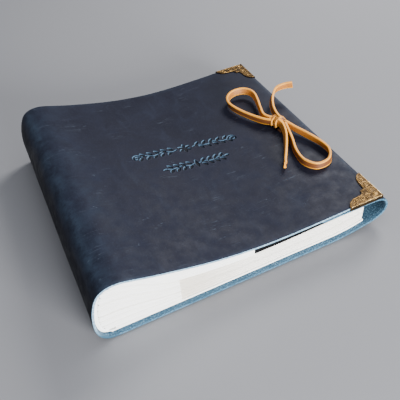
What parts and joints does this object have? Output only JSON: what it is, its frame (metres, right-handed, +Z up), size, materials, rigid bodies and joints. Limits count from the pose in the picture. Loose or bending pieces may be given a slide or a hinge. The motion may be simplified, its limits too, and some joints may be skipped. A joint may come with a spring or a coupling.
{
  "type": "wedding guest book",
  "caption": "Square guest book in a soft leather wrap cover that loops round the fore edge and tucks under the front, with brass corners and a leather lace bow.",
  "frame": {"origin": "centre of the underside of the closed book, on the surface that it lies on", "axes": "+X from the spine to the fore edge, +Y along the spine towards the head, +Z up out of the front cover"},
  "size_m": [0.2886, 0.2668, 0.0639],
  "materials": {
    "cover_leather": "waxed pull-up hide, navy grain side, blue suede flesh side",
    "corner_brass": "antique, embossed scrolls",
    "page_paper": "matt uncoated, cream",
    "white_card": "matt white",
    "tape_cloth": "woven cotton tape",
    "lace_leather": "tan flat lace, pale cut edges"
  },
  "bodies": {
    "back": {"back_cover": "cover_leather", "spine_leather": "cover_leather", "fore_edge_wrap": "cover_leather", "back_endpaper": "white_card", "spine_lining": "white_card", "sewing_tape_1": "tape_cloth", "sewing_tape_2": "tape_cloth", "sewing_tape_3": "tape_cloth", "sewing_tape_4": "tape_cloth", "leaf_section_8": "page_paper", "leaf_section_7": "page_paper", "guard_strip_7": "page_paper", "leaf_section_6": "page_paper", "guard_strip_6": "page_paper"},
    "front": {"front_cover": "cover_leather", "brass_corner_near": "corner_brass", "brass_corner_far": "corner_brass", "front_hinge_leaf": "white_card", "lace_knot": "lace_leather", "lace_loop_far": "lace_leather", "lace_loop_near": "lace_leather", "lace_tail_far": "lace_leather", "lace_tail_near": "lace_leather", "lace_inside_run": "lace_leather"},
    "upper_leaves": {"leaf_section_1": "page_paper", "guard_strip_1": "page_paper", "leaf_section_2": "page_paper", "guard_strip_2": "page_paper"},
    "middle_leaves": {"leaf_section_3": "page_paper", "guard_strip_3": "page_paper", "leaf_section_4": "page_paper", "guard_strip_4": "page_paper"},
    "lower_leaves": {"leaf_section_5": "page_paper", "guard_strip_5": "page_paper"},
    "flap": {"tuck_flap": "cover_leather"}
  },
  "joints": [
    {"name": "cover_fold", "type": "hinge", "parent": "back", "child": "front", "pos_m": [-0.133, 0, 0.0575], "axis": [0, -1, 0], "range_deg": [0, 178]},
    {"name": "upper_leaves_turn", "type": "hinge", "parent": "back", "child": "upper_leaves", "pos_m": [-0.133, 0, 0.0575], "axis": [0, -1, 0], "range_deg": [0, 173.16]},
    {"name": "middle_leaves_turn", "type": "hinge", "parent": "back", "child": "middle_leaves", "pos_m": [-0.1355, 0, 0.0419], "axis": [0, -1, 0], "range_deg": [0, 50.34]},
    {"name": "lower_leaves_turn", "type": "hinge", "parent": "back", "child": "lower_leaves", "pos_m": [-0.137, 0, 0.0283], "axis": [0, -1, 0], "range_deg": [0, 25.42]},
    {"name": "flap_fold", "type": "hinge", "parent": "back", "child": "flap", "pos_m": [0.142, 0, 0.02065], "axis": [0, 1, 0], "range_deg": [0, 170], "deforming": ["tuck_flap"]}
  ],
  "couplings": [
    {"joint": "upper_leaves_turn", "follows": "cover_fold", "ratio": 0.97},
    {"joint": "middle_leaves_turn", "follows": "cover_fold", "ratio": 0.28},
    {"joint": "lower_leaves_turn", "follows": "cover_fold", "ratio": 0.14}
  ]
}
